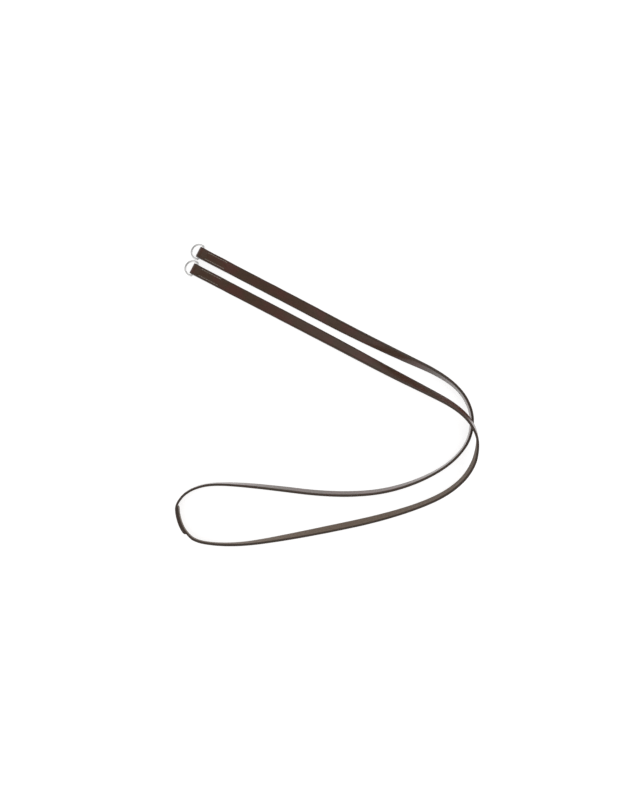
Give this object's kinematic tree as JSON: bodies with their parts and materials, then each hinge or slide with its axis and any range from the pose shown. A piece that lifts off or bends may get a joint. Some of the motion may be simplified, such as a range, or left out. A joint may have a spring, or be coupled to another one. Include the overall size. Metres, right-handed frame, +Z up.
{
  "type": "leather reins",
  "caption": "Pair of plain leather reins with a D-ring sewn into each end and a stitched middle lap, laid out in a long loop.",
  "frame": {"origin": "middle of the laid-out reins, on the surface they lie on", "axes": "+X along the two flat lengths, away from the D-rings; +Y across them, from the off rein to the near rein; +Z up"},
  "size_m": [0.5125, 0.3884, 0.0363],
  "materials": {
    "leather": "oiled dark brown bridle leather, satin",
    "ring_wire": "nickel plated, polished",
    "thread": "waxed linen thread"
  },
  "bodies": {
    "reins": {"near_rein_strap": "leather", "off_rein_strap": "leather", "near_ring_stitching": "thread", "off_ring_stitching": "thread", "splice_stitching": "thread"},
    "near_ring": {"near_d_ring": "ring_wire"},
    "off_ring": {"off_d_ring": "ring_wire"}
  },
  "joints": [
    {"name": "near_ring_swing", "type": "hinge", "parent": "reins", "child": "near_ring", "pos_m": [-0.238, 0.182, 0.0053], "axis": [0, 1, 0], "range_deg": [-125, 155]},
    {"name": "off_ring_swing", "type": "hinge", "parent": "reins", "child": "off_ring", "pos_m": [-0.235, 0.1565, 0.0053], "axis": [0, 1, 0], "range_deg": [-125, 155]}
  ]
}
